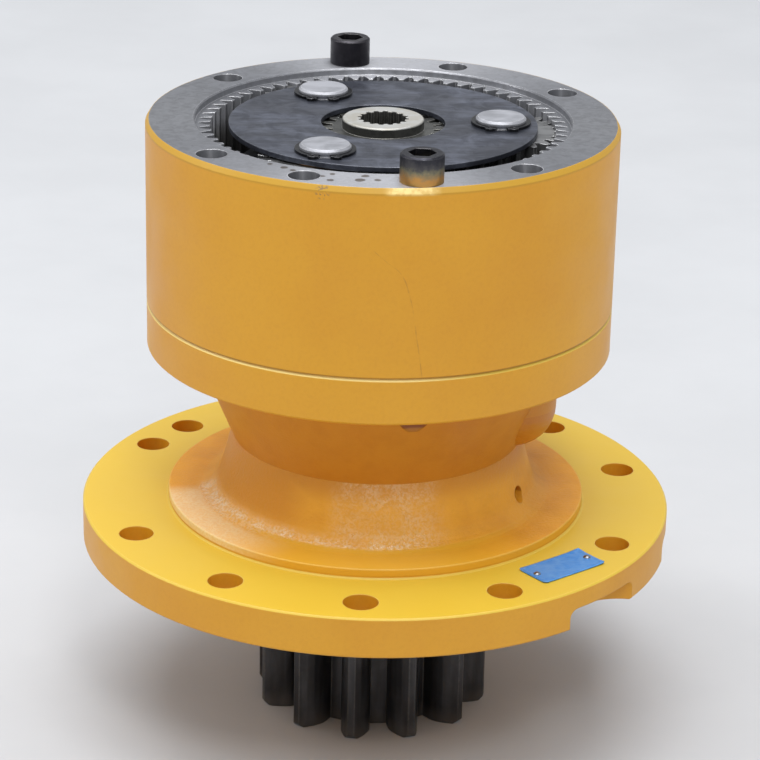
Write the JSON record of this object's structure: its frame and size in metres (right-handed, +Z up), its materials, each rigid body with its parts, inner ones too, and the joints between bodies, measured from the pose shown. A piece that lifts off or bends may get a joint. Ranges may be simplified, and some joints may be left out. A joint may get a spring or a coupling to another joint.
{
  "type": "planetary swing gearbox",
  "caption": "Two-stage planetary gearbox in a round case on a flanged neck, open at the top over its splined input gear, with a toothed output pinion below.",
  "frame": {"origin": "on the pinion's axis, at the pinion's lower face, on which the part stands", "axes": "+Z up along the shaft, from the pinion to the open case. -Y faces the picture's camera, and +X is to its right."},
  "size_m": [0.35, 0.35, 0.381],
  "materials": {
    "case_paint": "satin machine paint over cast and turned metal",
    "screw_black": "black oxide",
    "ground_steel": "ground",
    "plate_blue": "satin lacquer, blank",
    "rivet_metal": "bright",
    "rubber": "matt",
    "spring_steel": "oiled",
    "bearing_steel": "ground and polished",
    "cage_steel": "pressed sheet",
    "needle_cage_brass": "turned",
    "pinion_steel": "dark, hardened and oiled",
    "gear_steel": "hardened and oiled",
    "sun_steel": "turned and oiled",
    "carrier_steel": "machined and oiled",
    "retainer_steel": "ground sheet, blued",
    "nut_steel": "turned",
    "thrust_bronze": "lapped"
  },
  "bodies": {
    "housing": {"ring_gear_case": "case_paint", "swing_housing": "case_paint", "case_o_ring": "rubber", "case_screws": "screw_black", "case_dowels": "ground_steel", "drain_plug": "case_paint", "name_plate": "plate_blue", "name_plate_rivets": "rivet_metal", "oil_seal": "rubber", "seal_spring": "spring_steel", "lower_bearing_cup": "bearing_steel", "upper_bearing_cup": "bearing_steel"},
    "output": {"pinion_shaft": "pinion_steel", "lower_bearing_cone": "bearing_steel", "lower_bearing_rollers": "bearing_steel", "lower_bearing_cage": "cage_steel", "upper_bearing_cone": "bearing_steel", "upper_bearing_rollers": "bearing_steel", "upper_bearing_cage": "cage_steel", "lock_washer": "nut_steel", "bearing_nut": "nut_steel", "second_carrier": "carrier_steel", "carrier_snap_ring": "spring_steel", "shaft_thrust_washer": "thrust_bronze", "second_planet_pins": "ground_steel", "second_pin_snap_rings": "spring_steel", "second_retainer_plate": "retainer_steel", "second_lower_washers": "thrust_bronze", "second_upper_washers": "thrust_bronze", "second_planet_needles": "bearing_steel", "second_needle_cages": "needle_cage_brass"},
    "first_stage": {"first_carrier": "carrier_steel", "second_sun_gear": "gear_steel", "sun_snap_ring": "spring_steel", "first_planet_pins": "ground_steel", "first_pin_snap_rings": "spring_steel", "first_retainer_plate": "retainer_steel", "first_lower_washers": "thrust_bronze", "first_upper_washers": "thrust_bronze", "first_planet_needles": "bearing_steel", "first_needle_cages": "needle_cage_brass", "sun_thrust_disc": "thrust_bronze"},
    "input_sun": {"input_sun_gear": "sun_steel"},
    "first_planet_1": {"first_planet_gear_1": "gear_steel"},
    "first_planet_2": {"first_planet_gear_2": "gear_steel"},
    "first_planet_3": {"first_planet_gear_3": "gear_steel"},
    "second_planet_1": {"second_planet_gear_1": "gear_steel"},
    "second_planet_2": {"second_planet_gear_2": "gear_steel"},
    "second_planet_3": {"second_planet_gear_3": "gear_steel"},
    "second_planet_4": {"second_planet_gear_4": "gear_steel"}
  },
  "joints": [
    {"name": "pinion_spin", "type": "hinge", "parent": "housing", "child": "output", "pos_m": [0, 0, 0.043], "axis": [0, 0, 1], "continuous": true},
    {"name": "first_carrier_spin", "type": "hinge", "parent": "housing", "child": "first_stage", "pos_m": [0, 0, 0.32], "axis": [0, 0, 1], "continuous": true},
    {"name": "input_sun_spin", "type": "hinge", "parent": "housing", "child": "input_sun", "pos_m": [0, 0, 0.345], "axis": [0, 0, 1], "continuous": true},
    {"name": "first_planet_1_spin", "type": "hinge", "parent": "first_stage", "child": "first_planet_1", "pos_m": [0.06746, 0.00236, 0.345], "axis": [0, 0, 1], "continuous": true},
    {"name": "first_planet_2_spin", "type": "hinge", "parent": "first_stage", "child": "first_planet_2", "pos_m": [-0.03577, 0.05724, 0.345], "axis": [0, 0, 1], "continuous": true},
    {"name": "first_planet_3_spin", "type": "hinge", "parent": "first_stage", "child": "first_planet_3", "pos_m": [-0.03169, -0.0596, 0.345], "axis": [0, 0, 1], "continuous": true},
    {"name": "second_planet_1_spin", "type": "hinge", "parent": "output", "child": "second_planet_1", "pos_m": [0.04501, 0.04827, 0.287], "axis": [0, 0, 1], "continuous": true},
    {"name": "second_planet_2_spin", "type": "hinge", "parent": "output", "child": "second_planet_2", "pos_m": [-0.04827, 0.04501, 0.287], "axis": [0, 0, 1], "continuous": true},
    {"name": "second_planet_3_spin", "type": "hinge", "parent": "output", "child": "second_planet_3", "pos_m": [-0.04501, -0.04827, 0.287], "axis": [0, 0, 1], "continuous": true},
    {"name": "second_planet_4_spin", "type": "hinge", "parent": "output", "child": "second_planet_4", "pos_m": [0.04827, -0.04501, 0.287], "axis": [0, 0, 1], "continuous": true}
  ],
  "couplings": [
    {"joint": "first_carrier_spin", "follows": "pinion_spin", "ratio": 4.4},
    {"joint": "input_sun_spin", "follows": "pinion_spin", "ratio": 18},
    {"joint": "first_planet_1_spin", "follows": "pinion_spin", "ratio": -13.009},
    {"joint": "first_planet_2_spin", "follows": "pinion_spin", "ratio": -13.009},
    {"joint": "first_planet_3_spin", "follows": "pinion_spin", "ratio": -13.009},
    {"joint": "second_planet_1_spin", "follows": "pinion_spin", "ratio": -2.8333},
    {"joint": "second_planet_2_spin", "follows": "pinion_spin", "ratio": -2.8333},
    {"joint": "second_planet_3_spin", "follows": "pinion_spin", "ratio": -2.8333},
    {"joint": "second_planet_4_spin", "follows": "pinion_spin", "ratio": -2.8333}
  ]
}
